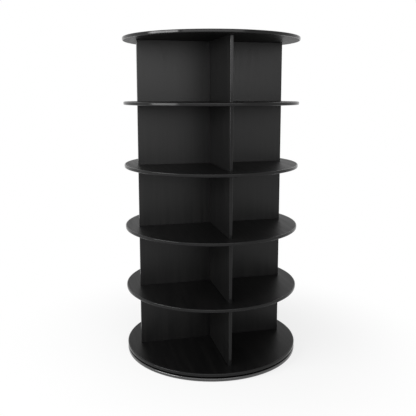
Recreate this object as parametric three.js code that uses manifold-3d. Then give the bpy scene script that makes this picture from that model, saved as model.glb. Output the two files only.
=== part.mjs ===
// Rotating shoe tower: five tiers of open compartments that turn on a ring bearing.
//
// Millimetres, +Z up. The origin is on the floor, under the centre of the tower.
// The wide panels lie along X, the short panels reach to the front (-Y) and to the rear (+Y).

import * as THREE from 'three';
import { mergeVertices } from 'three/addons/utils/BufferGeometryUtils.js';
import Module from 'manifold-3d';

// Driving dimensions: the boards
const DISC_RADIUS = 290;
const BOARD_THICKNESS = 10;
const BOARD_EDGE_RADIUS = 2.5;
const TIER_COUNT = 5;
const TIER_CLEAR_HEIGHT = 195;

// Driving dimensions: the upright panels, whose ends stand back from the rims of the round boards
const PANEL_THICKNESS = 10;
const PANEL_SETBACK = 43.5;
const PANEL_EDGE_RADIUS = 2;
const HOUSING_DEPTH = 2;

// Driving dimensions: pins and screws. A grip is the length that is held in a panel,
// and the cover is the board that is left beyond a blind hole.
const PIN_RADIUS = 2.5;
const PIN_GRIP = 9;
const PIN_TIP_CHAMFER = 0.5;
const FIXING_INSET = 80;
const BLIND_HOLE_COVER = 4;
const SCREW_RADIUS = 1.75;
const SCREW_HEAD_RADIUS = 3.8;
const SCREW_HEAD_HEIGHT = 2.2;
const SCREW_PANEL_GRIP = 14;
const SCREW_TIP_LENGTH = 3;
const SCREW_RECESS_RADIUS = 1.4;
const SCREW_RECESS_DEPTH = 1.2;

// Driving dimensions: the ring bearing
const BEARING_HEIGHT = 5;
const BALL_CIRCLE_RADIUS = 68;
const BALL_COUNT = 18;
const CAGE_WALL = 1;
const CAGE_HEIGHT = 2.2;
const RACE_WIDTH = 17;
const RACE_LIFT = 0.5;
const RACE_LIP = 0.5;
const RACE_SCREW_COUNT = 3;
const ACCESS_HOLE_MARGIN = 2.2;

// Driving dimensions: the pads under the base board
const PAD_COUNT = 4;
const PAD_RADIUS = 18;
const PAD_HEIGHT = 2;
const PAD_EDGE_RADIUS = 0.6;
const PAD_INSET = 50;

// Clearances
const FIT_CLEARANCE = 0.3;
const CUT_OVERRUN = 1;

// Facets round a full turn
const DISC_FACETS = 96;
const RACE_FACETS = 60;
const PAD_FACETS = 20;
const PIN_FACETS = 12;
const BALL_FACETS = 8;
const BALL_RINGS = 5;
const GROOVE_FACETS = 4;
const EDGE_FACETS = 2;

// Angles of repeated pieces, in radians
const FULL_TURN = 2 * Math.PI;
const QUARTER_TURN = FULL_TURN / 4;
const FIRST_PAD_ANGLE = FULL_TURN / 8;

// Heights above the floor
const BASE_BOTTOM = PAD_HEIGHT;
const BASE_TOP = BASE_BOTTOM + BOARD_THICKNESS;
const FLOOR_SHELF_BOTTOM = BASE_TOP + BEARING_HEIGHT;
const FLOOR_SHELF_TOP = FLOOR_SHELF_BOTTOM + BOARD_THICKNESS;
const TIER_PITCH = TIER_CLEAR_HEIGHT + BOARD_THICKNESS;

// Distances from the tower's axis
const PANEL_REACH = DISC_RADIUS - PANEL_SETBACK;
const FIXING_CIRCLE_RADIUS = PANEL_REACH - FIXING_INSET;
const PAD_CIRCLE_RADIUS = DISC_RADIUS - PAD_INSET;

// The bearing. Its two races stand off the ball circle by the same gap, and the groove
// in each leaves a lip above and below, which sets the size of the balls.
const RING_GAP = CAGE_WALL / 2 + FIT_CLEARANCE;
const RACE_THICKNESS = BEARING_HEIGHT - RACE_LIFT;
const GROOVE_HALF_HEIGHT = BEARING_HEIGHT / 2 - RACE_LIFT - RACE_LIP;
const GROOVE_RADIUS = Math.hypot(GROOVE_HALF_HEIGHT, RING_GAP);
const BALL_RADIUS = GROOVE_RADIUS - FIT_CLEARANCE;
const INNER_RACE_OUTSIDE = BALL_CIRCLE_RADIUS - RING_GAP;
const INNER_RACE_BORE = INNER_RACE_OUTSIDE - RACE_WIDTH;
const OUTER_RACE_INSIDE = BALL_CIRCLE_RADIUS + RING_GAP;
const OUTER_RACE_OUTSIDE = OUTER_RACE_INSIDE + RACE_WIDTH;
const INNER_SCREW_CIRCLE = INNER_RACE_BORE + (RACE_WIDTH - BALL_RADIUS) / 2;
const OUTER_SCREW_CIRCLE = OUTER_RACE_OUTSIDE - (RACE_WIDTH - BALL_RADIUS) / 2;
const ACCESS_HOLE_RADIUS = SCREW_HEAD_RADIUS + ACCESS_HOLE_MARGIN;

// Lengths of pins and screws
const BLIND_GRIP = BOARD_THICKNESS - BLIND_HOLE_COVER;
const THROUGH_PIN_LENGTH = PIN_GRIP + BOARD_THICKNESS + PIN_GRIP;
const BLIND_PIN_LENGTH = PIN_GRIP + BLIND_GRIP;
const FLOOR_SCREW_LENGTH = BOARD_THICKNESS + SCREW_PANEL_GRIP;
const RACE_SCREW_LENGTH = RACE_THICKNESS + BLIND_GRIP;

const wasm = await Module();
wasm.setup();

// Finishes
const blackBoard = new THREE.MeshStandardMaterial({ color: 0x1b1a1a, roughness: 0.42, metalness: 0 });
const aluminium = new THREE.MeshStandardMaterial({ color: 0xb9babc, roughness: 0.35, metalness: 1 });
const steel = new THREE.MeshStandardMaterial({ color: 0x9a9a9c, roughness: 0.3, metalness: 1 });
const padFoam = new THREE.MeshStandardMaterial({ color: 0x202020, roughness: 0.9, metalness: 0 });

// A closed geometry as a solid: only positions are kept, and triangles that closed up are dropped.
function toSolid(geometry) {
  const bare = geometry.clone();
  bare.deleteAttribute('normal');
  bare.deleteAttribute('uv');
  const merged = mergeVertices(bare);
  const index = merged.index.array;
  const triangles = [];
  for (let i = 0; i < index.length; i += 3) {
    const [a, b, c] = [index[i], index[i + 1], index[i + 2]];
    if (a !== b && b !== c && c !== a) triangles.push(a, b, c);
  }
  return new wasm.Manifold(new wasm.Mesh({
    numProp: 3,
    vertProperties: new Float32Array(merged.attributes.position.array),
    triVerts: new Uint32Array(triangles),
  }));
}

// A solid as a geometry.
function toGeometry(solid) {
  const mesh = solid.getMesh();
  const geometry = new THREE.BufferGeometry();
  geometry.setAttribute('position', new THREE.BufferAttribute(mesh.vertProperties, mesh.numProp));
  geometry.setIndex(new THREE.BufferAttribute(mesh.triVerts, 1));
  geometry.computeVertexNormals();
  return geometry;
}

// A named piece at a place in its group.
function piece(name, solid, material, x = 0, y = 0, z = 0) {
  const mesh = new THREE.Mesh(toGeometry(solid), material);
  mesh.name = name;
  mesh.position.set(x, y, z);
  return mesh;
}

// A solid turned round the Z axis from its outline of [radius, height] points.
function turned(outline, facets) {
  const points = outline.map(([radius, height]) => new THREE.Vector2(radius, height));
  return toSolid(new THREE.LatheGeometry(points, facets).rotateX(QUARTER_TURN));
}

// A rounded corner as points on a quarter circle, counterclockwise from the angle given.
function roundedCorner(centreX, centreY, radius, firstAngle) {
  return Array.from({ length: EDGE_FACETS + 1 }, (_, i) => {
    const angle = firstAngle + (i * QUARTER_TURN) / EDGE_FACETS;
    return [centreX + radius * Math.cos(angle), centreY + radius * Math.sin(angle)];
  });
}

// A round board or pad with its rim rounded above and below.
function roundPlate(radius, thickness, edgeRadius, facets) {
  const inset = radius - edgeRadius;
  return turned([
    [0, 0],
    ...roundedCorner(inset, edgeRadius, edgeRadius, -QUARTER_TURN),
    ...roundedCorner(inset, thickness - edgeRadius, edgeRadius, 0),
    [0, thickness],
  ], facets);
}

// A plain round bar from height low to height high, used as a pin and as a drill.
function bar(radius, low, high) {
  return turned([[0, low], [radius, low], [radius, high], [0, high]], PIN_FACETS);
}

// The places of the four fixings of a tier: two in the wide panel, one in each short panel.
const FIXING_PLACES = [
  [-FIXING_CIRCLE_RADIUS, 0],
  [FIXING_CIRCLE_RADIUS, 0],
  [0, -FIXING_CIRCLE_RADIUS],
  [0, FIXING_CIRCLE_RADIUS],
];

// Places spread evenly round a circle.
function placesRound(count, radius, firstAngle) {
  return Array.from({ length: count }, (_, i) => {
    const angle = firstAngle + (i * FULL_TURN) / count;
    return [radius * Math.cos(angle), radius * Math.sin(angle)];
  });
}

// A solid with the same drill taken out at each place.
function drilled(solid, drill, places) {
  return places.reduce((left, [x, y]) => left.subtract(drill.translate([x, y, 0])), solid);
}

// Connecting pin: a bar with both tips chamfered.
function pinSolid(length) {
  const tip = PIN_RADIUS - PIN_TIP_CHAMFER;
  return turned([
    [0, 0],
    [tip, 0],
    [PIN_RADIUS, PIN_TIP_CHAMFER],
    [PIN_RADIUS, length - PIN_TIP_CHAMFER],
    [tip, length],
    [0, length],
  ], PIN_FACETS);
}

// Countersunk screw: head at the origin, shank and pointed tip upwards, recess in the head.
function screwSolid(length) {
  const body = turned([
    [0, 0],
    [SCREW_HEAD_RADIUS, 0],
    [SCREW_RADIUS, SCREW_HEAD_HEIGHT],
    [SCREW_RADIUS, length - SCREW_TIP_LENGTH],
    [0, length],
  ], PIN_FACETS);
  return body.subtract(bar(SCREW_RECESS_RADIUS, -CUT_OVERRUN, SCREW_RECESS_DEPTH));
}

// The room that a countersunk screw needs, with the fit clearance all round.
function screwRoom(length) {
  const head = SCREW_HEAD_RADIUS + FIT_CLEARANCE;
  const shank = SCREW_RADIUS + FIT_CLEARANCE;
  return turned([
    [0, -CUT_OVERRUN],
    [head, -CUT_OVERRUN],
    [head, 0],
    [shank, SCREW_HEAD_HEIGHT],
    [shank, length + FIT_CLEARANCE],
    [0, length + FIT_CLEARANCE],
  ], PIN_FACETS);
}

// Upright panels. Each stands on z = 0 and is as high as the clear height of a tier.
// Holes for pins go into the lower and the upper edge, at places along the panel.
function panelSolid(outline, places, lowDrill, highDrill) {
  const shape = new THREE.Shape(outline.map(([x, y]) => new THREE.Vector2(x, y)));
  const blank = toSolid(new THREE.ExtrudeGeometry(shape, {
    depth: TIER_CLEAR_HEIGHT,
    bevelEnabled: false,
  }));
  return drilled(drilled(blank, lowDrill, places), highDrill, places);
}

// Plan outline of a panel's outer end, at the reach along +X, from its front corner to its rear one.
function panelEnd() {
  const inset = PANEL_REACH - PANEL_EDGE_RADIUS;
  const side = PANEL_THICKNESS / 2 - PANEL_EDGE_RADIUS;
  return [
    ...roundedCorner(inset, -side, PANEL_EDGE_RADIUS, -QUARTER_TURN),
    ...roundedCorner(inset, side, PANEL_EDGE_RADIUS, 0),
  ];
}

// Plan points turned about the tower's axis by whole quarter turns.
function quarterTurned(points, quarters) {
  const turn = (places) => places.map(([x, y]) => [-y, x]);
  return quarters > 0 ? quarterTurned(turn(points), quarters - 1) : points;
}

// Plan outline of the wide panel: an end on either side, and a housing in each face
// that takes the inner edge of a short panel.
function widePanelOutline() {
  const half = PANEL_THICKNESS / 2;
  const slot = half + FIT_CLEARANCE;
  const floor = half - HOUSING_DEPTH;
  const rearHousing = [[slot, half], [slot, floor], [-slot, floor], [-slot, half]];
  return [
    ...panelEnd(),
    ...rearHousing,
    ...quarterTurned(panelEnd(), 2),
    ...quarterTurned(rearHousing, 2),
  ];
}

// Plan outline of a short panel along +X, whose inner end sits in the housing.
function shortPanelOutline() {
  const half = PANEL_THICKNESS / 2;
  const inner = half - HOUSING_DEPTH + FIT_CLEARANCE;
  return [[inner, half], [inner, -half], ...panelEnd()];
}

// Drill for a panel's lower edge: screws come up from below into the lowest tier, pins elsewhere.
function lowerEdgeDrill(tier) {
  if (tier > 0) return bar(PIN_RADIUS + FIT_CLEARANCE, -CUT_OVERRUN, PIN_GRIP + FIT_CLEARANCE);
  return bar(SCREW_RADIUS + FIT_CLEARANCE, -CUT_OVERRUN, SCREW_PANEL_GRIP + FIT_CLEARANCE);
}

// Drill for a panel's upper edge, where every tier has pins.
function upperEdgeDrill() {
  const low = TIER_CLEAR_HEIGHT - PIN_GRIP - FIT_CLEARANCE;
  return bar(PIN_RADIUS + FIT_CLEARANCE, low, TIER_CLEAR_HEIGHT + CUT_OVERRUN);
}

// The three panels of one tier, in a group that stands on the tier's floor.
function tierPanels(tier) {
  const [left, right, front, rear] = FIXING_PLACES;
  const low = lowerEdgeDrill(tier);
  const high = upperEdgeDrill();
  const wide = panelSolid(widePanelOutline(), [left, right], low, high);
  const frontShort = panelSolid(quarterTurned(shortPanelOutline(), 3), [front], low, high);
  const rearShort = panelSolid(quarterTurned(shortPanelOutline(), 1), [rear], low, high);
  const name = `tier_${tier + 1}`;
  const group = new THREE.Group();
  group.add(
    piece(`${name}_wide_panel`, wide, blackBoard),
    piece(`${name}_front_panel`, frontShort, blackBoard),
    piece(`${name}_rear_panel`, rearShort, blackBoard),
  );
  return group;
}

// A round board before it is drilled.
function blankDisc() {
  return roundPlate(DISC_RADIUS, BOARD_THICKNESS, BOARD_EDGE_RADIUS, DISC_FACETS);
}

// A middle shelf has the pins right through it.
function middleShelf() {
  const through = bar(PIN_RADIUS + FIT_CLEARANCE, -CUT_OVERRUN, BOARD_THICKNESS + CUT_OVERRUN);
  return drilled(blankDisc(), through, FIXING_PLACES);
}

// The top board has blind holes, so its upper face stays plain.
function topBoard() {
  const blind = bar(PIN_RADIUS + FIT_CLEARANCE, -CUT_OVERRUN, BLIND_GRIP + FIT_CLEARANCE);
  return drilled(blankDisc(), blind, FIXING_PLACES);
}

// The bearing's screws: the inner race is screwed down, the outer race is screwed up.
const INNER_SCREW_PLACES = placesRound(RACE_SCREW_COUNT, INNER_SCREW_CIRCLE, QUARTER_TURN);
const OUTER_SCREW_PLACES = placesRound(RACE_SCREW_COUNT, OUTER_SCREW_CIRCLE, -QUARTER_TURN);

// The bottom shelf is drilled from below: countersunk for the panels' screws, blind for the race's.
function floorShelf() {
  const pilot = bar(SCREW_RADIUS + FIT_CLEARANCE, -CUT_OVERRUN, BLIND_GRIP + FIT_CLEARANCE);
  const withRooms = drilled(blankDisc(), screwRoom(FLOOR_SCREW_LENGTH), FIXING_PLACES);
  return drilled(withRooms, pilot, OUTER_SCREW_PLACES);
}

// The base board has one hole through which the outer race's screws are driven, one after another.
function baseBoard() {
  const low = BLIND_HOLE_COVER - FIT_CLEARANCE;
  const high = BOARD_THICKNESS + CUT_OVERRUN;
  const pilot = bar(SCREW_RADIUS + FIT_CLEARANCE, low, high);
  const access = bar(ACCESS_HOLE_RADIUS, -CUT_OVERRUN, high);
  const withPilots = drilled(blankDisc(), pilot, INNER_SCREW_PLACES);
  return drilled(withPilots, access, [[0, -OUTER_SCREW_CIRCLE]]);
}

// A round groove in a race's wall, as points from its lower edge to its upper edge.
// The side is -1 for a wall inside the ball circle and 1 for a wall outside it.
function groovePoints(side, middle) {
  const edge = Math.acos(RING_GAP / GROOVE_RADIUS);
  return Array.from({ length: GROOVE_FACETS + 1 }, (_, i) => {
    const angle = -edge + (2 * edge * i) / GROOVE_FACETS;
    const radius = BALL_CIRCLE_RADIUS + side * GROOVE_RADIUS * Math.cos(angle);
    return [radius, middle + GROOVE_RADIUS * Math.sin(angle)];
  });
}

// The inner race rests on the base board.
function innerRace() {
  const outline = [
    [INNER_RACE_BORE, 0],
    [INNER_RACE_OUTSIDE, 0],
    ...groovePoints(-1, BEARING_HEIGHT / 2),
    [INNER_RACE_OUTSIDE, RACE_THICKNESS],
    [INNER_RACE_BORE, RACE_THICKNESS],
    [INNER_RACE_BORE, 0],
  ];
  const room = screwRoom(RACE_SCREW_LENGTH).mirror([0, 0, 1]).translate([0, 0, RACE_THICKNESS]);
  return drilled(turned(outline, RACE_FACETS), room, INNER_SCREW_PLACES);
}

// The outer race hangs from the bottom shelf.
function outerRace() {
  const middle = BEARING_HEIGHT / 2 - RACE_LIFT;
  const outline = [
    [OUTER_RACE_OUTSIDE, 0],
    [OUTER_RACE_OUTSIDE, RACE_THICKNESS],
    [OUTER_RACE_INSIDE, RACE_THICKNESS],
    ...groovePoints(1, middle).reverse(),
    [OUTER_RACE_INSIDE, 0],
    [OUTER_RACE_OUTSIDE, 0],
  ];
  return drilled(turned(outline, RACE_FACETS), screwRoom(RACE_SCREW_LENGTH), OUTER_SCREW_PLACES);
}

// Cage with its balls, as one body: a thin ring at the ball circle, with the balls held in it.
function ballCage() {
  const low = (BEARING_HEIGHT - CAGE_HEIGHT) / 2;
  const high = low + CAGE_HEIGHT;
  const inside = BALL_CIRCLE_RADIUS - CAGE_WALL / 2;
  const outside = BALL_CIRCLE_RADIUS + CAGE_WALL / 2;
  const ring = turned([
    [inside, low], [outside, low], [outside, high], [inside, high], [inside, low],
  ], RACE_FACETS);
  const ball = toSolid(new THREE.SphereGeometry(BALL_RADIUS, BALL_FACETS, BALL_RINGS));
  const places = placesRound(BALL_COUNT, BALL_CIRCLE_RADIUS, 0);
  return places.reduce((cage, [x, y]) => cage.add(ball.translate([x, y, BEARING_HEIGHT / 2])), ring);
}

// Pieces that stay still: pads, base board and inner race with its screws.
function fixedBase() {
  const group = new THREE.Group();
  const pad = roundPlate(PAD_RADIUS, PAD_HEIGHT, PAD_EDGE_RADIUS, PAD_FACETS);
  placesRound(PAD_COUNT, PAD_CIRCLE_RADIUS, FIRST_PAD_ANGLE).forEach(([x, y], i) => {
    group.add(piece(`foot_pad_${i + 1}`, pad, padFoam, x, y, 0));
  });
  group.add(
    piece('base_board', baseBoard(), blackBoard, 0, 0, BASE_BOTTOM),
    piece('inner_race', innerRace(), aluminium, 0, 0, BASE_TOP),
  );
  const screw = screwSolid(RACE_SCREW_LENGTH).mirror([0, 0, 1]);
  INNER_SCREW_PLACES.forEach(([x, y], i) => {
    group.add(piece(`inner_race_screw_${i + 1}`, screw, steel, x, y, BASE_TOP + RACE_THICKNESS));
  });
  return group;
}

// Pieces that turn: outer race, boards, panels, pins and screws.
function turningTower() {
  const group = new THREE.Group();
  group.add(
    piece('outer_race', outerRace(), aluminium, 0, 0, BASE_TOP + RACE_LIFT),
    piece('floor_shelf', floorShelf(), blackBoard, 0, 0, FLOOR_SHELF_BOTTOM),
  );
  const raceScrew = screwSolid(RACE_SCREW_LENGTH);
  OUTER_SCREW_PLACES.forEach(([x, y], i) => {
    group.add(piece(`outer_race_screw_${i + 1}`, raceScrew, steel, x, y, BASE_TOP + RACE_LIFT));
  });
  const floorScrew = screwSolid(FLOOR_SCREW_LENGTH);
  FIXING_PLACES.forEach(([x, y], i) => {
    group.add(piece(`floor_shelf_screw_${i + 1}`, floorScrew, steel, x, y, FLOOR_SHELF_BOTTOM));
  });
  for (let tier = 0; tier < TIER_COUNT; tier += 1) {
    const floor = FLOOR_SHELF_TOP + tier * TIER_PITCH;
    const panels = tierPanels(tier);
    panels.position.z = floor;
    group.add(panels, ...tierRoof(tier, floor + TIER_CLEAR_HEIGHT));
  }
  return group;
}

// The board over a tier and the pins in it: through pins at a middle shelf, blind pins at the top.
function tierRoof(tier, height) {
  const isTop = tier === TIER_COUNT - 1;
  const name = isTop ? 'top_board' : `shelf_${tier + 1}`;
  const board = piece(name, isTop ? topBoard() : middleShelf(), blackBoard, 0, 0, height);
  const pin = pinSolid(isTop ? BLIND_PIN_LENGTH : THROUGH_PIN_LENGTH);
  const pins = FIXING_PLACES.map(([x, y], i) => (
    piece(`${name}_pin_${i + 1}`, pin, steel, x, y, height - PIN_GRIP)
  ));
  return [board, ...pins];
}

const shoeTower = new THREE.Group();
shoeTower.add(
  fixedBase(),
  piece('ball_cage', ballCage(), steel, 0, 0, BASE_TOP),
  turningTower(),
);

export default shoeTower;
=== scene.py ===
"""Rotating shoe tower, dressed for a studio picture.

Five tiers of open compartments turn on a ring bearing over a fixed base board. Each piece is
made here in fine mesh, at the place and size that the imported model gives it. Lengths are in
metres, +Z up, with the origin on the floor under the tower's axis.
"""

from __future__ import annotations

import logging
import math
from collections.abc import Iterable, Sequence
from dataclasses import dataclass, replace
from enum import Enum
from functools import cached_property
from itertools import pairwise
from typing import NamedTuple

import bmesh
import bpy
import numpy as np
from mathutils import Euler, Matrix, Vector

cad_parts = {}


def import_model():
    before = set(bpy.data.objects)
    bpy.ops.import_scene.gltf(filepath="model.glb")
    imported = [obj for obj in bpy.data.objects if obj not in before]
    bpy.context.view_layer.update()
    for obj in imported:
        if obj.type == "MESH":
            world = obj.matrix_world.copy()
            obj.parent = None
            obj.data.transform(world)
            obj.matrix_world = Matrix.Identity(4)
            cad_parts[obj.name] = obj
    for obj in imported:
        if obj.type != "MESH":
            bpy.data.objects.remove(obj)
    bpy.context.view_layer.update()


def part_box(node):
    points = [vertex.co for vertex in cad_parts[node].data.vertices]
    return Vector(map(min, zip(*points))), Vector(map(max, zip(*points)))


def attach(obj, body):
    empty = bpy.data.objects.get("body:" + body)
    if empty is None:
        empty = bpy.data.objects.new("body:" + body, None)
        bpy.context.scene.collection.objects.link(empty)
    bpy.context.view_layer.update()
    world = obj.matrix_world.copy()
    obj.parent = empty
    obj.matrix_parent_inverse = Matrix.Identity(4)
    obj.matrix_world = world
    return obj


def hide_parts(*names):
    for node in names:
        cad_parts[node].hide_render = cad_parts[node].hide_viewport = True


LOG = logging.getLogger("shoe_tower")

Colour = tuple[float, float, float]
Material = bpy.types.Material
Mesh = bmesh.types.BMesh
Piece = bpy.types.Object
Point = tuple[float, float]
Ring = list[Vector]
Span = tuple[float, float]
Vertex = bmesh.types.BMVert

MM = 0.001
FULL_TURN = 2 * math.pi
QUARTER_TURN = FULL_TURN / 4
UP = Vector((0, 0, 1))
ORIGIN = Vector((0, 0, 0))
AXIS: Point = (0.0, 0.0)
WHITE = (1, 1, 1, 1)

FIT_CLEARANCE = 0.3 * MM
WELD_DISTANCE = 0.01 * MM
SHARP_ANGLE = math.radians(32)
HOLE_FACETS = 36
SEED_MOVE = Vector((1, 1.7, 2.3))
PATCH_RANGE: Span = (0.35, 0.65)

# Places of a Mix node's sockets for colours
MIX_FIRST, MIX_SECOND, MIX_RESULT = 6, 7, 2


class Grain(Enum):
    """The axis that the streaks of a board's finish run along, by its place in X, Y and Z."""

    DEEP = 1
    UPRIGHT = 2


class Wing(Enum):
    """The sides of the axis that an upright panel reaches to, by the ending of its node."""

    BOTH_SIDES = "wide_panel"
    FRONT = "front_panel"
    REAR = "rear_panel"


class Head(Enum):
    """The end of a countersunk screw that its head is at."""

    BELOW = "below"
    ABOVE = "above"


class Race(Enum):
    """A race of the ring bearing, by its node."""

    INNER = "inner_race"
    OUTER = "outer_race"


@dataclass(frozen=True)
class Extent:
    """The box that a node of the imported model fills.

    Attributes:
        low: Its lowest corner.
        high: Its highest corner.
    """

    low: Vector
    high: Vector

    @classmethod
    def of(cls, node: str) -> Extent:
        """The box of the node with this name."""
        return cls(*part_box(node))

    @property
    def centre(self) -> Vector:
        """Middle of the box."""
        return (self.low + self.high) / 2

    @property
    def radius(self) -> float:
        """Radius of an upright round piece that fills the box."""
        return (self.high.x - self.low.x) / 2

    def meets(self, other: Extent) -> bool:
        """Whether this box and another overlap."""
        spans = zip(self.low, self.high, other.low, other.high)
        return all(a < d and c < b for a, b, c, d in spans)


# Shader expressions


class Socket:
    """The output of a node, with the arithmetic that an expression on values needs."""

    def __init__(self, shader: Shader, source: bpy.types.NodeSocket) -> None:
        """Wraps an output in the shader's tree."""
        self.shader = shader
        self.source = source

    def __add__(self, other: Socket | float) -> Socket:
        """self + other."""
        return self.shader.maths("ADD", self, other)

    def __sub__(self, other: Socket | float) -> Socket:
        """self - other."""
        return self.shader.maths("SUBTRACT", self, other)

    def __rsub__(self, other: float) -> Socket:
        """other - self."""
        return self.shader.maths("SUBTRACT", other, self)

    def __mul__(self, other: Socket | float) -> Socket:
        """self * other."""
        return self.shader.maths("MULTIPLY", self, other)

    __radd__ = __add__
    __rmul__ = __mul__

    def larger(self, other: Socket | float) -> Socket:
        """The larger of this value and another."""
        return self.shader.maths("MAXIMUM", self, other)

    def ramp(self, start: float, end: float) -> Socket:
        """A smooth step, 0 where this value is at the start and 1 where it is at the end."""
        values = {"Value": self, "From Min": start, "From Max": end}
        return self.shader.node("ShaderNodeMapRange", values, interpolation_type="SMOOTHSTEP")


class Shader:
    """A material or world whose node tree is filled by expressions."""

    def __init__(self, owner: Material | bpy.types.World) -> None:
        """Empties the owner's node tree.

        Args:
            owner: The material or world to fill.
        """
        owner.use_nodes = True
        self.owner = owner
        self.tree = owner.node_tree
        self.tree.nodes.clear()

    def node(
        self,
        kind: str,
        sockets: dict[str | int, object] | None = None,
        output: str | int = 0,
        **settings: object,
    ) -> Socket | None:
        """Adds a node.

        Args:
            kind: The node's type.
            sockets: The value or link of each input, by its name or place.
            output: The name or place of the output that the caller goes on with.
            settings: The node's settings, which are made first.

        Returns:
            That output, or nothing for a node that ends the tree.
        """
        added = self.tree.nodes.new(kind)
        for name, value in settings.items():
            setattr(added, name, value)
        for name, value in (sockets or {}).items():
            if isinstance(value, Socket):
                self.tree.links.new(value.source, added.inputs[name])
            else:
                added.inputs[name].default_value = value
        return Socket(self, added.outputs[output]) if added.outputs else None

    def maths(self, operation: str, first: Socket | float, second: Socket | float) -> Socket:
        """The result of a Math node's operation on two values."""
        return self.node("ShaderNodeMath", {0: first, 1: second}, operation=operation)

    def place(self) -> Socket:
        """The point in the piece's own frame, in metres, which turns with the piece."""
        return self.node("ShaderNodeTexCoord", output="Object")

    def stretched(self, point: Socket, scale: Vector, move: Vector = ORIGIN) -> Socket:
        """A point scaled along each axis and then moved."""
        sockets = {0: point, 1: scale, 2: move}
        return self.node("ShaderNodeVectorMath", sockets, operation="MULTIPLY_ADD")

    def from_axis(self, point: Socket) -> Socket:
        """Distance of a point from the upright axis of its frame."""
        level = self.stretched(point, Vector((1, 1, 0)))
        return self.node("ShaderNodeVectorMath", {0: level}, "Value", operation="LENGTH")

    def noise(self, point: Socket, width: float, detail: float) -> Socket:
        """Smooth noise from 0 to 1, in waves of this width with this number of finer layers."""
        sockets = {"Vector": point, "Scale": 1 / width, "Detail": detail}
        return self.node("ShaderNodeTexNoise", sockets)

    def blend(self, factor: Socket, first: Colour, second: Colour) -> Socket:
        """The first colour where the factor is 0, and the second where it is 1."""
        sockets = {0: factor, MIX_FIRST: (*first, 1), MIX_SECOND: (*second, 1)}
        return self.node("ShaderNodeMix", sockets, MIX_RESULT, data_type="RGBA")

    def bump(self, height: Socket, distance: float, **under: Socket) -> Socket:
        """A normal bent by a height, whose 1 stands for the distance, over a coarser relief."""
        sockets = {"Height": height, "Distance": distance, "Strength": 1.0, **under}
        return self.node("ShaderNodeBump", sockets)

    def end(self, surface: Socket) -> None:
        """Ends the tree in this surface or background."""
        kind = "World" if isinstance(self.owner, bpy.types.World) else "Material"
        self.node(f"ShaderNodeOutput{kind}", {"Surface": surface})


# Finishes


class Pattern(NamedTuple):
    """What varies over a surface.

    Attributes:
        marks: 0 where the surface has its main colour, 1 where it has its shade.
        wear: 0 where it is smoothest, 1 where it is roughest.
        relief: Its normal.
    """

    marks: Socket
    wear: Socket
    relief: Socket


@dataclass(frozen=True)
class Finish:
    """A surface whose colour and roughness vary over it.

    Attributes:
        name: Name of its material.
        colour: Its main colour.
        shade: Colour of its streaks, patches or cells.
        roughness: Roughness of its smoothest and of its roughest spots.
        specular: Strength of its reflection at a right angle.
        metallic: 1 for bare metal, 0 for the rest.
    """

    name: str
    colour: Colour
    shade: Colour
    roughness: Span
    specular: float = 0.5
    metallic: float = 0.0

    def pattern(self, shader: Shader) -> Pattern:
        """Adds the nodes of its pattern to the shader of its material."""
        raise NotImplementedError

    @cached_property
    def material(self) -> Material:
        """Its material, which is made when a piece first asks for it.

        Returns:
            The material.
        """
        shader = Shader(bpy.data.materials.new(self.name))
        pattern = self.pattern(shader)
        smooth, dull = self.roughness
        shader.end(shader.node("ShaderNodeBsdfPrincipled", {
            "Base Color": shader.blend(pattern.marks, self.colour, self.shade),
            "Metallic": self.metallic,
            "Roughness": pattern.wear * (dull - smooth) + smooth,
            "Specular IOR Level": self.specular,
            "Normal": pattern.relief,
        }))
        return shader.owner


@dataclass(frozen=True)
class BlackLaminate(Finish):
    """Satin black laminate with a faint pressed grain.

    Attributes:
        grain: The axis that the streaks run along.
        seed: A number that gives a board a pattern of its own.
        streak_width: Width of a broad streak.
        streak_range: Levels of noise between which a streak sets in.
        dull_range: Levels of the same noise between which it turns dull.
        pore_width: Width of a pressed pore.
        pore_range: Levels of noise between which a pore sets in.
        pore_share: Part of the streaks that comes from the pores.
        pore_depth: Depth of a pore.
        stretch: How many times longer than wide streaks and pores are.
        ripple_width: Width of a wave in the board's face.
        ripple_depth: Depth of such a wave.
    """

    colour: Colour = (0.0030, 0.0030, 0.0031)
    shade: Colour = (0.0058, 0.0056, 0.0055)
    roughness: Span = (0.36, 0.40)
    specular: float = 0.28
    grain: Grain = Grain.DEEP
    seed: float = 0.0
    streak_width: float = 9 * MM
    streak_range: Span = (0.38, 0.66)
    dull_range: Span = (0.3, 0.7)
    pore_width: float = 0.7 * MM
    pore_range: Span = (0.54, 0.68)
    pore_share: float = 0.25
    pore_depth: float = 0.012 * MM
    stretch: float = 22
    ripple_width: float = 26 * MM
    ripple_depth: float = 0.05 * MM

    def pattern(self, shader: Shader) -> Pattern:
        """Adds the nodes of streaks and pores along the grain, on a slightly wavy face.

        Args:
            shader: The shader.

        Returns:
            The pattern.
        """
        point = shader.place()
        scale = Vector((1, 1, 1))
        scale[self.grain.value] = 1 / self.stretch
        along = shader.stretched(point, scale, SEED_MOVE * self.seed)
        broad = shader.noise(along, self.streak_width, detail=3)
        pores = shader.noise(along, self.pore_width, detail=2).ramp(*self.pore_range)
        streaks = broad.ramp(*self.streak_range) * (1 - self.pore_share) + pores * self.pore_share
        waves = shader.bump(shader.noise(point, self.ripple_width, detail=1), self.ripple_depth)
        relief = shader.bump(1 - pores, self.pore_depth, Normal=waves)
        return Pattern(streaks, broad.ramp(*self.dull_range), relief)


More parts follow.
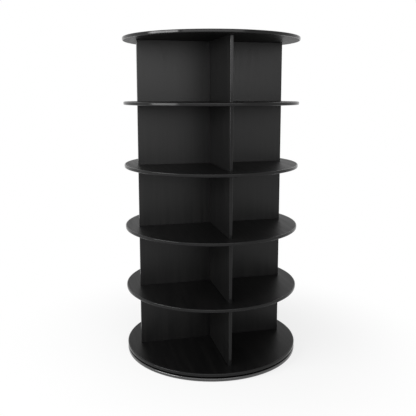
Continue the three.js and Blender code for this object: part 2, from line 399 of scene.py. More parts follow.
@dataclass(frozen=True)
class EdgeBand(Finish):
    """The plain black band round the edges of a board, smoother than its faces.

    Attributes:
        patch_width: Width of a patch.
        ripple_depth: Depth of the waves that pressing left in it.
    """

    colour: Colour = (0.0085, 0.0085, 0.0087)
    shade: Colour = (0.0060, 0.0060, 0.0061)
    roughness: Span = (0.12, 0.17)
    specular: float = 0.17
    patch_width: float = 45 * MM
    ripple_depth: float = 0.03 * MM

    def pattern(self, shader: Shader) -> Pattern:
        """Adds the nodes of broad and faint patches.

        Args:
            shader: The shader.

        Returns:
            The pattern.
        """
        patches = shader.noise(shader.place(), self.patch_width, detail=1)
        wear = patches.ramp(*PATCH_RANGE)
        return Pattern(patches, wear, shader.bump(patches, self.ripple_depth))


@dataclass(frozen=True)
class TurnedMetal(Finish):
    """Bare metal with fine marks of the tool that turned or pressed it.

    Attributes:
        patch_width: Width of a patch.
        patch_share: Part of the shade that a patch takes.
        mark_width: Width of a tool mark.
        mark_share: Part of the shade that a mark takes.
        mark_depth: Depth of a tool mark.
    """

    roughness: Span = (0.22, 0.4)
    metallic: float = 1.0
    patch_width: float = 9 * MM
    patch_share: float = 0.6
    mark_width: float = 0.35 * MM
    mark_share: float = 0.2
    mark_depth: float = 0.004 * MM

    def pattern(self, shader: Shader) -> Pattern:
        """Adds the nodes of patches, and of tool marks round the axis.

        Args:
            shader: The shader.

        Returns:
            The pattern.
        """
        point = shader.place()
        patches = shader.noise(point, self.patch_width, detail=3).ramp(*PATCH_RANGE)
        height = shader.node("ShaderNodeSeparateXYZ", {0: point}, "Z")
        sockets = {"X": shader.from_axis(point), "Z": height}
        circles = shader.node("ShaderNodeCombineXYZ", sockets)
        marks = shader.noise(circles, self.mark_width, detail=2)
        worn = patches * self.patch_share + marks * self.mark_share
        return Pattern(worn, patches, shader.bump(marks, self.mark_depth))


@dataclass(frozen=True)
class PadFoam(Finish):
    """Dense black foam of fine cells.

    Attributes:
        patch_width: Width of a rougher patch.
        cell_width: Width of a cell.
        cell_depth: Depth of a cell.
        wall_share: Part of a cell's width over which its wall falls off.
    """

    colour: Colour = (0.026, 0.026, 0.027)
    shade: Colour = (0.010, 0.010, 0.011)
    roughness: Span = (0.8, 0.95)
    specular: float = 0.3
    patch_width: float = 6 * MM
    cell_width: float = 0.6 * MM
    cell_depth: float = 0.12 * MM
    wall_share: float = 0.35

    def pattern(self, shader: Shader) -> Pattern:
        """Adds the nodes of cells, and of rougher patches.

        Args:
            shader: The shader.

        Returns:
            The pattern.
        """
        point = shader.place()
        scaled = {"Vector": point, "Scale": 1 / self.cell_width}
        walls = shader.node("ShaderNodeTexVoronoi", scaled, feature="DISTANCE_TO_EDGE")
        cells = walls.ramp(0, self.wall_share)
        patches = shader.noise(point, self.patch_width, detail=2)
        return Pattern(cells, patches, shader.bump(1 - cells, self.cell_depth))


BOARD_FACE = BlackLaminate("board_laminate", roughness=(0.41, 0.47), specular=0.11)
PANEL_FACE = BlackLaminate("panel_laminate", grain=Grain.UPRIGHT)
EDGE_BAND = EdgeBand("edge_band")
GLOSSY_BAND = EdgeBand("base_edge_band", specular=1.0)
ALUMINIUM = TurnedMetal("turned_aluminium", colour=(0.60, 0.61, 0.62), shade=(0.44, 0.45, 0.46))
STEEL = TurnedMetal(
    "bright_steel", colour=(0.52, 0.52, 0.53), shade=(0.36, 0.36, 0.37), roughness=(0.16, 0.3)
)
FOAM = PadFoam("pad_foam")


# Meshes


@dataclass
class Wall:
    """A closed band of surface that runs upwards through rings of points.

    Attributes:
        rings: The rings, from the lower face of the body to its upper face.
        meets_lower: Whether the first ring is in the body's lower face. If not, it is closed.
        meets_upper: Whether the last ring is in the body's upper face. If not, it is closed.
    """

    rings: list[Ring]
    meets_lower: bool = True
    meets_upper: bool = True

    def turned_over(self, middle: float) -> Wall:
        """This wall mirrored about a height, and again from its lower ring to its upper one."""
        rings = [[Vector((p.x, p.y, 2 * middle - p.z)) for p in r] for r in self.rings[::-1]]
        return Wall(rings, self.meets_upper, self.meets_lower)


def polar(radius: float, angle: float, height: float, centre: Point = AXIS) -> Vector:
    """The point at a radius and an angle round an upright axis, and at a height."""
    x, y = centre
    return Vector((x + radius * math.cos(angle), y + radius * math.sin(angle), height))


def shaped_ring(radii: Sequence[float], height: float, centre: Point = AXIS) -> Ring:
    """A level ring of points at these radii, with the same angle from each to the next."""
    angles = [FULL_TURN * index / len(radii) for index in range(len(radii))]
    return [polar(radius, angle, height, centre) for radius, angle in zip(radii, angles)]


def circle(radius: float, height: float, facets: int, centre: Point = AXIS) -> Ring:
    """A level and round ring of points."""
    return shaped_ring([radius] * facets, height, centre)


def turned_wall(profile: Iterable[Point], facets: int, centre: Point = AXIS, **ends: bool) -> Wall:
    """A wall turned from the radius and height of each ring, with the faces that it meets."""
    return Wall([circle(radius, height, facets, centre) for radius, height in profile], **ends)


def quarter_arc(radius: float, start: float, steps: int) -> list[Point]:
    """Points on a quarter circle about the origin, counterclockwise from an angle."""
    angles = [start + QUARTER_TURN * i / steps for i in range(steps + 1)]
    return [(radius * math.cos(a), radius * math.sin(a)) for a in angles]


def rounded_edge(reach: float, low: float, high: float, radius: float, steps: int) -> list[Point]:
    """The edge of a board, with both of its corners rounded.

    Args:
        reach: Distance of the edge from the axis.
        low: Place of the board's lower face.
        high: Place of its upper face.
        radius: Radius of the rounding.
        steps: Number of chords in a corner.

    Returns:
        The distance from the axis and the place of each point, from the lower face to the upper.
    """
    flat = reach - radius
    below = [(flat + x, low + radius + z) for x, z in quarter_arc(radius, -QUARTER_TURN, steps)]
    return below + [(flat + x, high - radius + z) for x, z in quarter_arc(radius, 0, steps)]


def drawn_in(outline: Sequence[Point], depth: float) -> list[Point]:
    """An outline drawn in by the same depth all round, with mitred corners.

    Args:
        outline: The outline, counterclockwise.
        depth: The depth.

    Returns:
        The new outline.
    """
    points = [Vector(point) for point in outline]
    drawn = []
    for before, point, after in zip(points[-1:] + points[:-1], points, points[1:] + points[:1]):
        into, out_of = (point - before).normalized(), (after - point).normalized()
        first, second = Vector((-into.y, into.x)), Vector((-out_of.y, out_of.x))
        drawn.append(tuple(point + (first + second) * depth / (1 + first.dot(second))))
    return drawn


def around(ring: Sequence[Vertex]) -> Iterable[tuple[Vertex, Vertex]]:
    """Each vertex of a closed ring with the one after it."""
    return pairwise([*ring, ring[0]])


def strip(near: Sequence[Vertex], far: Sequence[Vertex]) -> list[tuple[Vertex, ...]]:
    """The corners of each face between two closed rings of vertices."""
    return [(a, b, d, c) for (a, b), (c, d) in zip(around(near), around(far))]


def solid(*walls: Wall) -> Mesh:
    """A closed body with a flat lower and a flat upper face.

    Args:
        walls: Its outside, and the walls of the holes in it.

    Returns:
        Its mesh.
    """
    mesh = bmesh.new()
    lower_edges, upper_edges = [], []
    for wall in walls:
        rings = [[mesh.verts.new(point) for point in ring] for ring in wall.rings]
        for below, above in pairwise(rings):
            for corners in strip(below, above):
                mesh.faces.new(corners)
        ends = (rings[0], wall.meets_lower, lower_edges), (rings[-1], wall.meets_upper, upper_edges)
        for ring, meets, edges in ends:
            if meets:
                edges.extend(mesh.edges.get(pair) for pair in around(ring))
            else:
                mesh.faces.new(ring)
    for edges in (lower_edges, upper_edges):
        if edges:
            bmesh.ops.triangle_fill(mesh, use_beauty=True, edges=edges, normal=UP)
    bmesh.ops.recalc_face_normals(mesh, faces=mesh.faces)
    return mesh


def finished_object(mesh: Mesh, name: str, origin: Vector = ORIGIN) -> Piece:
    """An object with rounded parts shaded smooth and flat parts kept flat.

    Args:
        mesh: The mesh, which is used up.
        name: Name of the object.
        origin: Place of the object's own origin.

    Returns:
        The object, in the scene.
    """
    bmesh.ops.translate(mesh, verts=mesh.verts, vec=-origin)
    data = bpy.data.meshes.new(name)
    mesh.to_mesh(data)
    mesh.free()
    data.shade_smooth()
    data.set_sharp_from_angle(angle=SHARP_ANGLE)
    made = bpy.data.objects.new(name, data)
    made.location = origin
    bpy.context.scene.collection.objects.link(made)
    weighted = made.modifiers.new("flat_faces", "WEIGHTED_NORMAL")
    weighted.keep_sharp = True
    bpy.context.view_layer.update()
    evaluated = made.evaluated_get(bpy.context.evaluated_depsgraph_get())
    made.data = bpy.data.meshes.new_from_object(evaluated)
    made.modifiers.clear()
    bpy.data.meshes.remove(data)
    made.data.name = name
    return made


def publish(
    mesh: Mesh,
    node: str,
    body: str,
    slot: str,
    *finishes: Finish,
    name: str = "",
    origin: Vector = ORIGIN,
    edge_from: float = math.inf,
) -> Piece:
    """Makes a piece of a mesh, dresses it and hands it to the frame.

    Args:
        mesh: The mesh, which is used up.
        node: The node that the piece stands for.
        body: The body that it moves with.
        slot: Name of its material slot, which is not used.
        finishes: The finish of its faces and, where it has another, of its edge.
        name: Its name, if that isn't made from the node's.
        origin: Place of its own origin.
        edge_from: Distance from the axis at which its edge begins.

    Returns:
        The piece.
    """
    made = finished_object(mesh, name or f"{node}_finished", origin)
    for finish in finishes:
        made.data.materials.append(finish.material)
    for face in made.data.polygons:
        face.material_index = int(face.center.xy.length > edge_from)
    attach(made, body)
    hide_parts(node)
    LOG.info("%s: %d faces, on %s, for %s", made.name, len(made.data.polygons), body, node)
    return made


# Pins and screws


@dataclass
class Fixing:
    """An upright pin or screw, and the room that it needs in the boards that it joins.

    Attributes:
        node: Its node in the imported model.
        body: The body that it moves with.
    """

    node: str
    body: str

    @property
    def box(self) -> Extent:
        """The box of its node."""
        return Extent.of(self.node)

    @property
    def centre(self) -> Point:
        """Its place, seen from above."""
        return tuple(self.box.centre.xy)

    def room(self) -> list[Point]:
        """Radius and height of the room that it needs, upwards."""
        raise NotImplementedError

    def walls(self) -> list[Wall]:
        """The walls of its mesh."""
        raise NotImplementedError

    def hole_in(self, box: Extent) -> Wall:
        """The wall of the hole for it in a board, which ends inside the board where it is blind.

        Args:
            box: The board's box.

        Returns:
            The wall.
        """
        low, high = box.low.z, box.high.z
        radii, heights = zip(*self.room())
        levels = np.array(heights)
        levels[levels < low + WELD_DISTANCE] = low
        levels[levels > high - WELD_DISTANCE] = high
        # Rings that fall together are made once
        profile = dict.fromkeys(zip(np.interp(levels, heights, radii), levels))
        ends = {"meets_lower": levels[0] == low, "meets_upper": levels[-1] == high}
        return turned_wall(profile, HOLE_FACETS, self.centre, **ends)

    def build(self) -> None:
        """Builds the piece about its own axis and dresses it."""
        mesh = solid(*self.walls())
        publish(mesh, self.node, self.body, "fastener_steel", STEEL, origin=self.box.centre)


@dataclass
class Pin(Fixing):
    """A connecting pin, fluted where the panels grip it and plain where it passes a board.

    Attributes:
        tip: Radius of the rounding at its tips.
        plain_length: Length of the plain part about its middle.
        flute_fade: Length over which a flute runs out.
        flute_count: Number of flutes.
        flute_depth: Depth of a flute.
        facets: Number of points round it.
        arc_steps: Number of chords in a tip's rounding.
    """

    tip: float = 0.5 * MM
    plain_length: float = 9 * MM
    flute_fade: float = 0.4 * MM
    flute_count: int = 16
    flute_depth: float = 0.12 * MM
    facets: int = 96
    arc_steps: int = 4

    def room(self) -> list[Point]:
        """Radius and height of the room that it needs, upwards."""
        ends = (self.box.low.z - FIT_CLEARANCE, self.box.high.z + FIT_CLEARANCE)
        return [(self.box.radius + FIT_CLEARANCE, end) for end in ends]

    def fluted_ring(self, radius: float, height: float, strength: float) -> Ring:
        """One ring of the pin.

        Args:
            radius: Its radius between the flutes.
            height: Its height.
            strength: 1 where the flutes are fully cut, 0 where there are none.

        Returns:
            The ring.
        """
        turns, depth = self.flute_count * FULL_TURN, self.flute_depth * strength
        waves = [1 - math.cos(turns * i / self.facets) for i in range(self.facets)]
        radii = [radius - depth * wave / 2 for wave in waves]
        return shaped_ring(radii, height, self.centre)

    def walls(self) -> list[Wall]:
        """The pin from its lower tip to its upper one.

        Returns:
            Its wall.
        """
        low, high, radius, fade = self.box.low.z, self.box.high.z, self.box.radius, self.flute_fade
        plain_low = self.box.centre.z - self.plain_length / 2
        plain_high = self.box.centre.z + self.plain_length / 2
        tips = [(r, z, 0) for r, z in rounded_edge(radius, low, high, self.tip, self.arc_steps)]
        shaft = [
            (radius, low + self.tip + fade, 1),
            (radius, plain_low - fade, 1),
            (radius, plain_low, 0),
            (radius, plain_high, 0),
            (radius, plain_high + fade, 1),
            (radius, high - self.tip - fade, 1),
        ]
        half = len(tips) // 2
        levels = tips[:half] + shaft + tips[half:]
        return [Wall([self.fluted_ring(*level) for level in levels])]


@dataclass
class Screw(Fixing):
    """A countersunk wood screw with a cross recess and a thread that runs up to its point.

    Attributes:
        head: The end that its head is at.
        shank_radius: Radius over the thread.
        core_radius: Radius between the turns of the thread.
        head_height: Height of the head.
        head_rim: Height of the head's upright rim.
        pitch: Height of one turn of the thread.
        crest_share: Part of the pitch over which a turn rises, and again falls.
        tip_length: Length of the tapering point.
        point_radius: Radius that the point ends in.
        recess_reach: Reach of the recess's arms.
        recess_arm: Half of an arm's width.
        recess_depth: Depth of the recess.
        recess_taper_share: Size of the recess's floor as a part of its mouth.
        facets: Number of points round it.
        turn_steps: Number of rings in one turn of the thread.
    """

    head: Head = Head.BELOW
    shank_radius: float = 1.75 * MM
    core_radius: float = 1.2 * MM
    head_height: float = 2.2 * MM
    head_rim: float = 0.2 * MM
    pitch: float = 1.6 * MM
    crest_share: float = 0.3
    tip_length: float = 3 * MM
    point_radius: float = 0.08 * MM
    recess_reach: float = 1.4 * MM
    recess_arm: float = 0.34 * MM
    recess_depth: float = 1.2 * MM
    recess_taper_share: float = 0.5
    facets: int = 36
    turn_steps: int = 10

    def room(self) -> list[Point]:
        """The room that it needs, with its head in a countersink.

        Returns:
            Radius and height of that room, upwards.
        """
        low, high = self.box.low.z, self.box.high.z
        shank, head = self.shank_radius + FIT_CLEARANCE, self.box.radius + FIT_CLEARANCE
        if self.head is Head.BELOW:
            return [(head, low), (shank, low + self.head_height), (shank, high + FIT_CLEARANCE)]
        return [(shank, low - FIT_CLEARANCE), (shank, high - self.head_height), (head, high)]

    def threaded_ring(self, rise: float, end: float) -> Ring:
        """One ring of the thread.

        Args:
            rise: Its height above the head.
            end: Height above the head at which the point ends.

        Returns:
            The ring.
        """
        taper = min(1.0, (end - rise) / self.tip_length)
        depth = self.shank_radius - self.core_radius
        radii = []
        for index in range(self.facets):
            off_crest = abs((rise / self.pitch - index / self.facets) % 1 - 1 / 2)
            thread = depth * max(0.0, 1 - off_crest / self.crest_share)
            radii.append(max(self.point_radius, (self.core_radius + thread) * taper))
        return shaped_ring(radii, self.box.low.z + self.head_height + rise, self.centre)

    def cross_ring(self, size: float, height: float) -> Ring:
        """The outline of the recess.

        Args:
            size: Its size as a part of the mouth's.
            height: Its height.

        Returns:
            The outline, counterclockwise from above.
        """
        x, y = self.centre
        reach, arm = self.recess_reach * size, self.recess_arm * size
        corners = [(reach, -arm), (reach, arm), (arm, arm)]
        ring = []
        for _ in range(4):
            ring.extend(Vector((x + across, y + deep, height)) for across, deep in corners)
            corners = [(-deep, across) for across, deep in corners]
        return ring

    def walls(self) -> list[Wall]:
        """The screw, with its head at either end.

        Returns:
            The wall of head and thread, and that of the recess.
        """
        box, foot = self.box, self.box.low.z
        end = box.high.z - foot - self.head_height
        head = (
            (box.radius - self.head_rim / 2, 0.0),
            (box.radius, self.head_rim / 2),
            (box.radius, self.head_rim),
            (self.core_radius, self.head_height),
        )
        rings = [circle(radius, foot + rise, self.facets, self.centre) for radius, rise in head]
        steps = math.ceil(end / self.pitch * self.turn_steps)
        rings += [self.threaded_ring(end * step / steps, end) for step in range(1, steps + 1)]
        floor = self.cross_ring(self.recess_taper_share, foot + self.recess_depth)
        recess = [self.cross_ring(1.0, foot), floor]
        walls = [Wall(rings, meets_upper=False), Wall(recess, meets_upper=False)]
        if self.head is Head.BELOW:
            return walls
        return [wall.turned_over(box.centre.z) for wall in walls]


# Boards and panels


@dataclass
class RoundBoard:
    """A round board with a rounded rim and a fine seam where its edge band begins.

    Attributes:
        node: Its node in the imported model.
        body: The body that it moves with.
        fixings: The pins and screws that go into it.
        seed: A number that gives its finish a pattern of its own.
        other_holes: Walls of the holes in it that hold nothing.
        band: Finish of the band round its rim.
        edge_radius: Radius of the rounding above and below.
        seam_inset: Distance from the rounding to the seam.
        seam_width: Width of the seam.
        seam_depth: Depth of the seam.
        facets: Number of points round the rim.
        arc_steps: Number of chords in a rounding.
    """

    node: str
    body: str
    fixings: list[Fixing]
    seed: float
    other_holes: tuple[Wall, ...] = ()
    band: EdgeBand = EDGE_BAND
    edge_radius: float = 2.5 * MM
    seam_inset: float = 0.8 * MM
    seam_width: float = 0.3 * MM
    seam_depth: float = 0.15 * MM
    facets: int = 240
    arc_steps: int = 6

    def build(self) -> None:
        """Builds the board and dresses it."""
        box = Extent.of(self.node)
        low, high = box.low.z, box.high.z
        seam = box.radius - self.edge_radius - self.seam_inset
        middle, inner = seam - self.seam_width / 2, seam - self.seam_width
        rim = [(inner, low), (middle, low + self.seam_depth), (seam, low)]
        rim += rounded_edge(box.radius, low, high, self.edge_radius, self.arc_steps)
        rim += [(seam, high), (middle, high - self.seam_depth), (inner, high)]
        holes = [fixing.hole_in(box) for fixing in self.fixings]
        mesh = solid(turned_wall(rim, self.facets), *holes, *self.other_holes)
        face = replace(BOARD_FACE, name=f"{self.node}_laminate", seed=self.seed)
        publish(mesh, self.node, self.body, "black_board", face, self.band, edge_from=seam)


@dataclass
class UprightPanel:
    """An upright panel with rounded ends, eased cut edges and the holes for its fixings.

    Attributes:
        tier: Name of its tier, such as "tier_1".
        wing: The sides that it reaches to.
        fixings: All pins and screws under and over the tier.
        seed: A number that gives its finish a pattern of its own.
        end_radius: Radius of the rounding at its ends.
        ease: Radius of its cut edges.
        arc_steps: Number of chords in an end's rounding.
        ease_steps: Number of chords in an eased edge.
    """

    tier: str
    wing: Wing
    fixings: list[Fixing]
    seed: float
    end_radius: float = 2 * MM
    ease: float = 0.4 * MM
    arc_steps: int = 6
    ease_steps: int = 3

    def outline(self, short: Extent, reach: float) -> list[Point]:
        """The panel's outline, with the housings of the short panels in a wide one.

        Args:
            short: The box of the tier's rear panel.
            reach: Distance of the panels' ends from the axis.

        Returns:
            The points, seen from above, counterclockwise.
        """
        half, root = short.high.x, short.low.y
        end = rounded_edge(reach, -half, half, self.end_radius, self.arc_steps)
        if self.wing is Wing.BOTH_SIDES:
            slot, floor = half + FIT_CLEARANCE, root - FIT_CLEARANCE
            side = [*end, (slot, half), (slot, floor), (-slot, floor), (-slot, half)]
            return side + [(-x, -y) for x, y in side]
        turn = 1 if self.wing is Wing.REAR else -1
        return [(-y * turn, x * turn) for x, y in [(root, half), (root, -half), *end]]

    def build(self) -> None:
        """Builds the panel and dresses it."""
        nodes = [f"{self.tier}_{wing.value}" for wing in (self.wing, Wing.REAR, Wing.BOTH_SIDES)]
        box, short, wide = map(Extent.of, nodes)
        outline = self.outline(short, wide.high.x)
        levels = rounded_edge(0, box.low.z, box.high.z, self.ease, self.ease_steps)
        rings = [[Vector((x, y, z)) for x, y in drawn_in(outline, -out)] for out, z in levels]
        holes = [fixing.hole_in(box) for fixing in self.fixings if box.meets(fixing.box)]
        mesh = solid(Wall(rings), *holes)
        face = replace(PANEL_FACE, name=f"{nodes[0]}_laminate", seed=self.seed)
        edge = wide.high.x - self.end_radius
        publish(mesh, nodes[0], "tower", "black_board", face, EDGE_BAND, edge_from=edge)


# The studio


def put(
    data: bpy.types.Camera | bpy.types.Light, azimuth: float, distance: float, height: float
) -> Piece:
    """Puts a camera or lamp in the scene.

    Args:
        data: The camera or lamp.
        azimuth: Its angle round the tower's axis, from the front towards +X, in degrees.
        distance: Its distance from the axis.
        height: Its height.

    Returns:
        Its object.
    """
    holder = bpy.data.objects.new(data.name, data)
    bpy.context.scene.collection.objects.link(holder)
    holder.location = polar(distance, math.radians(azimuth) - QUARTER_TURN, height)
    return holder


@dataclass(frozen=True)
class Softbox:
    """A rectangular lamp with a soft white face towards the tower's axis.

    Attributes:
        name: Name of the lamp.
        azimuth: Its angle round the axis, in degrees.
        distance: Its distance from the axis.
        middle: Height of its middle.
        size: Its width and height.
        glow: Brightness of its face.
    """

    name: str
    azimuth: float
    distance: float
    middle: float
    size: tuple[float, float]
    glow: float

    def build(self) -> None:
        """Builds the lamp."""
        lamp = bpy.data.lights.new(self.name, "AREA")
        lamp.shape = "RECTANGLE"
        lamp.size, lamp.size_y = self.size
        lamp.energy = self.glow * math.pi * math.prod(self.size)
        holder = put(lamp, self.azimuth, self.distance, self.middle)
        aim = Vector((0, 0, self.middle)) - holder.location
        holder.rotation_euler = aim.to_track_quat("-Z", "Y").to_euler()


@dataclass
class Studio:
    """A pale floor and soft light round the tower, with the camera where the picture was taken.

    Attributes:
        azimuth: Angle of the camera round the axis, in degrees.
        distance: Distance of the camera from the axis.
        height: Height of the camera above the floor.
        pitch: Angle that it looks down by, in degrees.
        yaw: Angle that it is turned to the left of the axis by, in degrees.
        lens: Focal length in millimetres, on a sensor 36 mm wide.
        rise: Shift of the lens as a share of the picture's width.
        ambient: Level of the light from all round.
        floor_radius: Radius of the floor.
        floor_facets: Number of points round the floor.
        floor_colour: Colour of the floor.
        shadow_share: Part of the floor's own shading that the camera sees by the tower.
        shadow_reach: Distances between which that part fades to none.
        lamps: The lamps. The first draws the light line on the top board's rim, the second the
            one on the next board's rim, and the third lightens the upper panels.
    """

    azimuth: float = -14.2
    distance: float = 1.942
    height: float = 0.872
    pitch: float = 8.58
    yaw: float = 0.31
    lens: float = 49.97
    rise: float = -0.065
    ambient: float = 0.45
    floor_radius: float = 14.0
    floor_facets: int = 96
    floor_colour: Colour = (0.9, 0.9, 0.9)
    shadow_share: float = 0.25
    shadow_reach: Span = (0.3, 0.85)
    lamps: tuple[Softbox, ...] = (
        Softbox("side_strip", azimuth=-72, distance=2.4, middle=1.32, size=(1.7, 0.3), glow=19),
        Softbox("side_softbox", azimuth=-72, distance=2.4, middle=0.88, size=(1.5, 0.6), glow=8.5),
        Softbox("front_softbox", azimuth=-12, distance=2.6, middle=1.68, size=(3.8, 1.55), glow=3),
    )

    def whiten(self, shader: Shader, lit: Socket, glow: str, share: Socket | float = 1.0) -> None:
        """Ends a shader in its lit look, and in white for rays that see it directly or in a mirror.

        Args:
            shader: The shader.
            lit: The lit look.
            glow: The type of the node that glows white.
            share: Part of white that such rays see.
        """
        camera, glossy, transmission = (
            shader.node("ShaderNodeLightPath", output=f"Is {ray} Ray")
            for ray in ("Camera", "Glossy", "Transmission")
        )
        white = camera.larger(glossy).larger(transmission) * share
        plain = shader.node(glow, {"Color": WHITE, "Strength": 1.0})
        shader.end(shader.node("ShaderNodeMixShader", {0: white, 1: lit, 2: plain}))

    def build_floor(self) -> None:
        """A round floor that fades to white away from the tower and keeps its shadow."""
        mesh = bmesh.new()
        outline = circle(self.floor_radius, 0.0, self.floor_facets)
        mesh.faces.new([mesh.verts.new(point) for point in outline])
        floor = finished_object(mesh, "studio_floor")
        shader = Shader(bpy.data.materials.new("floor_white"))
        away = shader.from_axis(shader.place()).ramp(*self.shadow_reach)
        matt = shader.node("ShaderNodeBsdfDiffuse", {"Color": (*self.floor_colour, 1)})
        self.whiten(shader, matt, "ShaderNodeEmission", 1 - (1 - away) * self.shadow_share)
        floor.data.materials.append(shader.owner)

    def build_world(self) -> None:
        """A white surround that lights the tower at an even level."""
        world = bpy.data.worlds.new("studio_surround")
        bpy.context.scene.world = world
        shader = Shader(world)
        level = (self.ambient, self.ambient, self.ambient, 1)
        light = shader.node("ShaderNodeBackground", {"Color": level, "Strength": 1.0})
        self.whiten(shader, light, "ShaderNodeBackground")

    def build_camera(self) -> None:
        """The camera, which looks down a little from the height of the highest shelf."""
        camera = bpy.data.cameras.new("picture_camera")
        camera.lens = self.lens
        camera.shift_y = self.rise
        holder = put(camera, self.azimuth, self.distance, self.height)
        pitch, turn = math.radians(self.pitch), math.radians(self.azimuth + self.yaw)
        holder.rotation_euler = Euler((QUARTER_TURN - pitch, 0, turn))
        bpy.context.scene.camera = holder

    def build(self) -> None:
        """Builds the whole studio."""
        self.build_floor()
        self.build_world()
        for lamp in self.lamps:
            lamp.build()
        self.build_camera()
        bpy.context.scene.view_settings.view_transform = "Standard"
        LOG.info("studio built")


# The tower


@dataclass
class RingBearing:
    """The ring bearing between base and tower: two grooved races with balls in a cage between them.

    Attributes:
        ball_circle: Radius of the circle that the balls run on.
        ball_count: Number of balls.
        race_width: Width of a race.
        groove_lip: Height of the lip above and below a groove.
        screw_count: Number of screws in a race.
        edge_ease: Size of the eased edges.
        race_facets: Number of points round a race.
        groove_steps: Number of chords in a groove.
        cage_wall: Thickness of the cage.
        cage_gap: Room that the cage has above and below.
        pocket_facets: Number of points round a pocket of the cage.
        pocket_shares: Places of the loops of mesh from a pocket's edge to its stretch's bounds.
        ball_detail: Number of times that a ball's faces are divided.
    """

    ball_circle: float = 68 * MM
    ball_count: int = 18
    race_width: float = 17 * MM
    groove_lip: float = 0.5 * MM
    screw_count: int = 3
    edge_ease: float = 0.2 * MM
    race_facets: int = 180
    groove_steps: int = 12
    cage_wall: float = 1 * MM
    cage_gap: float = 0.6 * MM
    pocket_facets: int = 24
    pocket_shares: tuple[float, ...] = (0, 0.07, 0.2, 0.4, 0.6, 0.8, 1)
    ball_detail: int = 3

    def __post_init__(self) -> None:
        """Works out the room between the races."""
        inner, outer = (Extent.of(race.value) for race in Race)
        self.middle = (inner.low.z + outer.high.z) / 2
        self.half_cage = (outer.high.z - inner.low.z) / 2 - self.cage_gap
        self.gap = self.ball_circle - inner.radius
        self.groove_radius = math.hypot(inner.high.z - self.middle - self.groove_lip, self.gap)
        self.ball_radius = self.groove_radius - FIT_CLEARANCE

    def screws(self, race: Race) -> list[Fixing]:
        """The screws that hold a race."""
        head, body = (Head.ABOVE, "base") if race is Race.INNER else (Head.BELOW, "tower")
        return [Screw(f"{race.value}_screw_{i + 1}", body, head) for i in range(self.screw_count)]

    def build_race(self, race: Race) -> None:
        """Builds and dresses one race and its screws.

        Args:
            race: The race.
        """
        box, screws = Extent.of(race.value), self.screws(race)
        low, high, ease = box.low.z, box.high.z, self.edge_ease
        side = -1 if race is Race.INNER else 1
        front = self.ball_circle + side * self.gap
        reach, edge = self.groove_radius, math.acos(self.gap / self.groove_radius)
        angles = [edge * (2 * i / self.groove_steps - 1) for i in range(self.groove_steps + 1)]
        arc = [(side * reach * math.cos(angle), reach * math.sin(angle)) for angle in angles]
        groove = [(self.ball_circle + across, self.middle + up) for across, up in arc]
        walls = []
        for radius, inset, middle in (
            (front, side * ease, groove),
            (front + side * self.race_width, -side * ease, []),
        ):
            profile = [(radius + inset, low), (radius, low + ease), *middle, (radius, high - ease)]
            walls.append(turned_wall([*profile, (radius + inset, high)], self.race_facets))
        mesh = solid(*walls, *(screw.hole_in(box) for screw in screws))
        publish(mesh, race.value, screws[0].body, "bearing_aluminium", ALUMINIUM)
        for screw in screws:
            screw.build()

    def build_balls(self) -> None:
        """Builds and dresses the balls."""
        mesh = bmesh.new()
        for point in circle(self.ball_circle, self.middle, self.ball_count):
            bmesh.ops.create_icosphere(
                mesh,
                subdivisions=self.ball_detail,
                radius=self.ball_radius,
                matrix=Matrix.Translation(point),
            )
        publish(mesh, "ball_cage", "cage", "ball_steel", STEEL, name="bearing_balls")

    def pocket_loop(self, share: float) -> list[Point]:
        """A loop of points round a pocket of the cage, laid out flat.

        Args:
            share: 0 for the pocket's edge and 1 for the bounds of its stretch of the cage.

        Returns:
            The angle round the axis and the height of each point, from the pocket's middle.
        """
        pocket = self.ball_radius + FIT_CLEARANCE / 2
        half_turn = FULL_TURN / self.ball_count / 2
        loop = []
        for along, up, _ in circle(1.0, 0.0, self.pocket_facets):
            square = max(abs(along), abs(up))
            inner = (pocket * along / self.ball_circle, pocket * up)
            outer = (half_turn * along / square, self.half_cage * up / square)
            loop.append(tuple(a + (b - a) * share for a, b in zip(inner, outer)))
        return loop

    def build_cage(self) -> None:
        """Builds and dresses the cage, a thin ring with a round pocket for each ball."""
        mesh = bmesh.new()
        loops = [self.pocket_loop(share) for share in self.pocket_shares]
        half_wall, rim = self.cage_wall / 2, self.half_cage - WELD_DISTANCE
        faces = []
        for index in range(self.ball_count):
            start = FULL_TURN * index / self.ball_count
            surfaces = []
            for radius in (self.ball_circle - half_wall, self.ball_circle + half_wall):
                surfaces.append([])
                for loop in loops:
                    ring = [polar(radius, start + turn, self.middle + up) for turn, up in loop]
                    surfaces[-1].append([mesh.verts.new(point) for point in ring])
            inside, outside = surfaces
            for near, far in (*pairwise(inside), *pairwise(outside), (inside[0], outside[0])):
                faces += strip(near, far)
            for face in strip(inside[-1], outside[-1]):
                if min(abs(corner.co.z - self.middle) for corner in face) > rim:
                    faces.append(face)
        for face in faces:
            mesh.faces.new(face)
        bmesh.ops.remove_doubles(mesh, verts=mesh.verts, dist=WELD_DISTANCE)
        bmesh.ops.recalc_face_normals(mesh, faces=mesh.faces)
        publish(mesh, "ball_cage", "cage", "ball_steel", STEEL, name="bearing_cage")

    def build(self) -> None:
        """Builds and dresses the whole bearing."""
        for race in Race:
            self.build_race(race)
        self.build_cage()
        self.build_balls()


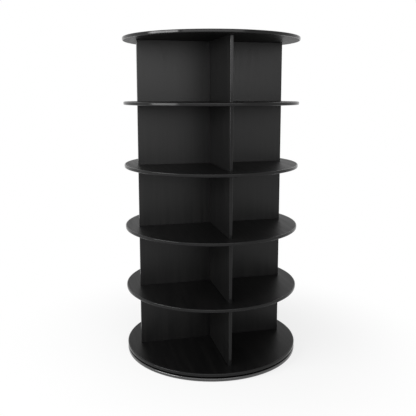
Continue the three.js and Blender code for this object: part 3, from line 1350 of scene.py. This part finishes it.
@dataclass
class FixedBase:
    """The base board on its foot pads.

    Attributes:
        bearing: The bearing that is screwed to the board.
        access_margin: Room round a screw's head in the hole that it is driven through.
        pad_count: Number of foot pads.
        pad_edge: Radius of the rounding at a pad's lower edge.
        film_height: Thickness of the adhesive film on a pad.
        film_setback: Distance that the film stands back from the foam's edge.
        bulge: Distance that a pad's side swells out under load.
        pad_facets: Number of points round a pad.
        arc_steps: Number of chords in a pad's rounding.
    """

    bearing: RingBearing
    access_margin: float = 2.2 * MM
    pad_count: int = 4
    pad_edge: float = 0.6 * MM
    film_height: float = 0.2 * MM
    film_setback: float = 0.5 * MM
    bulge: float = 0.12 * MM
    pad_facets: int = 96
    arc_steps: int = 5

    def build_board(self) -> None:
        """Builds the board, with the hole through which the outer race's screws are driven."""
        box, driven = Extent.of("base_board"), self.bearing.screws(Race.OUTER)[0]
        radius = driven.box.radius + self.access_margin
        profile = [(radius, box.low.z), (radius, box.high.z)]
        access = turned_wall(profile, HOLE_FACETS, driven.centre)
        held = self.bearing.screws(Race.INNER)
        RoundBoard(
            "base_board", "base", held, seed=0, other_holes=(access,), band=GLOSSY_BAND
        ).build()

    def build_pad(self, node: str) -> None:
        """Builds and dresses one foot pad.

        Args:
            node: Its node.
        """
        box = Extent.of(node)
        side, film = box.radius - self.bulge, box.radius - self.film_setback
        rounded, under_film = box.low.z + self.pad_edge, box.high.z - self.film_height
        arc = quarter_arc(self.pad_edge, -QUARTER_TURN, self.arc_steps)
        profile = [(side - self.pad_edge + x, rounded + z) for x, z in arc]
        profile += [(box.radius, (rounded + under_film) / 2), (side, under_film)]
        profile += [(film, under_film), (film, box.high.z)]
        mesh = solid(turned_wall(profile, self.pad_facets, tuple(box.centre.xy)))
        made = publish(mesh, node, "base", "foot_pad", FOAM, origin=box.centre)

    def build(self) -> None:
        """Builds and dresses the pads and the board."""
        for index in range(self.pad_count):
            self.build_pad(f"foot_pad_{index + 1}")
        self.build_board()


@dataclass
class TurningTower:
    """The part that turns: round boards with the crossed panels of a tier between each two.

    Attributes:
        bearing: The bearing that carries it.
        tier_count: Number of tiers.
        fixing_count: Number of pins or screws between a board and the panels on it.
        tier_seed: Step from tier to tier in the seed of a panel's finish.
        wing_seed: Step from wing to wing in it.
    """

    bearing: RingBearing
    tier_count: int = 5
    fixing_count: int = 4
    tier_seed: float = 3.1
    wing_seed: float = 0.9

    def fixings_of(self, board: str) -> list[Fixing]:
        """The pins or screws that join the panels to a board."""
        kind, name = (Screw, "screw") if board == "floor_shelf" else (Pin, "pin")
        return [kind(f"{board}_{name}_{i + 1}", "tower") for i in range(self.fixing_count)]

    def build(self) -> None:
        """Builds and dresses every turning piece, from the bottom shelf up."""
        boards = ["floor_shelf", *(f"shelf_{i}" for i in range(1, self.tier_count)), "top_board"]
        fixings = [self.fixings_of(board) for board in boards]
        for index, (node, held) in enumerate(zip(boards, fixings)):
            carried = self.bearing.screws(Race.OUTER) if index == 0 else []
            RoundBoard(node, "tower", held + carried, seed=index + 1).build()
            for fixing in held:
                fixing.build()
        for tier, (below, above) in enumerate(pairwise(fixings)):
            for place, wing in enumerate(Wing):
                seed = self.tier_seed * tier + self.wing_seed * place
                UprightPanel(f"tier_{tier + 1}", wing, below + above, seed).build()


def main() -> None:
    """Loads the frame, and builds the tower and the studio."""
    logging.basicConfig(level=logging.INFO, format="%(name)s: %(message)s")
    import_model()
    Studio().build()
    bearing = RingBearing()
    for assembly in (FixedBase(bearing), bearing, TurningTower(bearing)):
        assembly.build()


if __name__ == "__main__":
    main()
